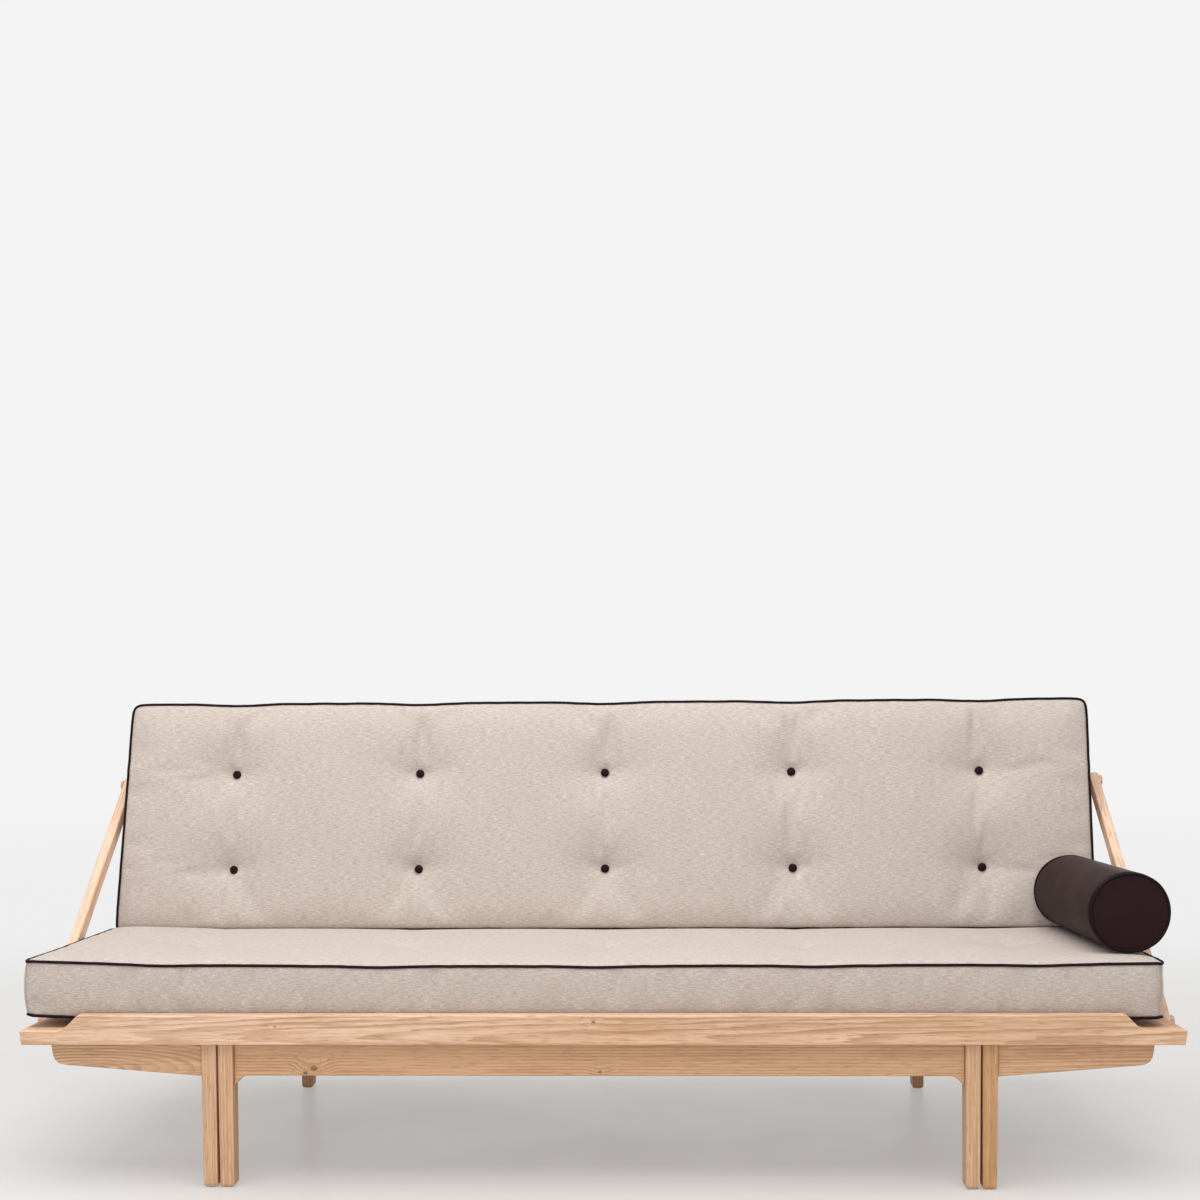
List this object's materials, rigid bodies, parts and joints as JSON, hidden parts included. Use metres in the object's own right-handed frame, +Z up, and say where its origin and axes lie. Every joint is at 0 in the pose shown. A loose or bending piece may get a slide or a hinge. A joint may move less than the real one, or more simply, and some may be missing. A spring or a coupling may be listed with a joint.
{
  "type": "daybed",
  "caption": "Oak daybed with a pull-out slatted front frame, a tufted reclined back carried on side arms, a piped mattress and a leather bolster.",
  "frame": {"origin": "on the floor, under the middle of the rail frame", "axes": "+X along the bed to the sitter's left, -Y towards the open front, +Z up"},
  "size_m": [2.0532, 0.84, 0.8472],
  "materials": {
    "oak": "light oiled oak, open grain, satin",
    "linen": "melange linen weave, greige, matt",
    "leather": "dark aubergine-brown leather, semi-matt"
  },
  "bodies": {
    "base": {"outer_leg_left": "oak", "rear_leg_left": "oak", "front_bracket_left": "oak", "rear_bracket_left": "oak", "runner_left": "oak", "end_plank_left": "oak", "base_pivot_left": "oak", "outer_leg_right": "oak", "rear_leg_right": "oak", "front_bracket_right": "oak", "rear_bracket_right": "oak", "runner_right": "oak", "end_plank_right": "oak", "base_pivot_right": "oak", "rear_rail": "oak", "rear_apron": "oak", "front_beam": "oak", "mattress": "linen", "fixed_slat_1": "oak", "fixed_slat_2": "oak", "fixed_slat_3": "oak", "fixed_slat_4": "oak", "fixed_slat_5": "oak", "fixed_slat_6": "oak"},
    "front_frame": {"inner_leg_left": "oak", "inner_leg_right": "oak", "front_rail": "oak", "centre_apron": "oak", "tie_bar": "oak", "sliding_slat_1": "oak", "sliding_slat_2": "oak", "sliding_slat_3": "oak", "sliding_slat_4": "oak", "sliding_slat_5": "oak", "sliding_slat_6": "oak", "sliding_slat_7": "oak"},
    "left_arm": {"arm_left": "oak"},
    "right_arm": {"arm_right": "oak"},
    "back": {"back_cushion": "linen", "back_stile_left": "oak", "back_stile_right": "oak", "back_rail_bottom": "oak", "back_rail_top": "oak", "back_slat_1": "oak", "back_slat_2": "oak", "back_slat_3": "oak", "back_slat_4": "oak", "tuft_button_1": "leather", "tuft_button_2": "leather", "tuft_button_3": "leather", "tuft_button_4": "leather", "tuft_button_5": "leather", "tuft_button_6": "leather", "tuft_button_7": "leather", "tuft_button_8": "leather", "tuft_button_9": "leather", "tuft_button_10": "leather", "back_pivot_left": "oak", "back_pivot_right": "oak"},
    "bolster": {"bolster": "leather"}
  },
  "joints": [
    {"name": "front_pull_out", "type": "slide", "parent": "base", "child": "front_frame", "axis": [0, -1, 0], "range_m": [0, 0.4]},
    {"name": "arm_left_swing", "type": "hinge", "parent": "base", "child": "left_arm", "pos_m": [-1.0093, -0.258, 0.264], "axis": [1, 0, 0], "range_deg": [0, 50]},
    {"name": "arm_right_swing", "type": "hinge", "parent": "base", "child": "right_arm", "pos_m": [1.0093, -0.258, 0.264], "axis": [1, 0, 0], "range_deg": [0, 50]},
    {"name": "back_tilt", "type": "hinge", "parent": "left_arm", "child": "back", "pos_m": [-1.0093, 0.22961, 0.67773], "axis": [1, 0, 0], "range_deg": [0, 50]},
    {"name": "bolster_lift", "type": "slide", "parent": "base", "child": "bolster", "axis": [0, 0, 1], "range_m": [0, 0.2]}
  ],
  "couplings": [
    {"joint": "arm_right_swing", "follows": "arm_left_swing", "ratio": 1},
    {"joint": "back_tilt", "follows": "arm_left_swing", "ratio": 1}
  ]
}
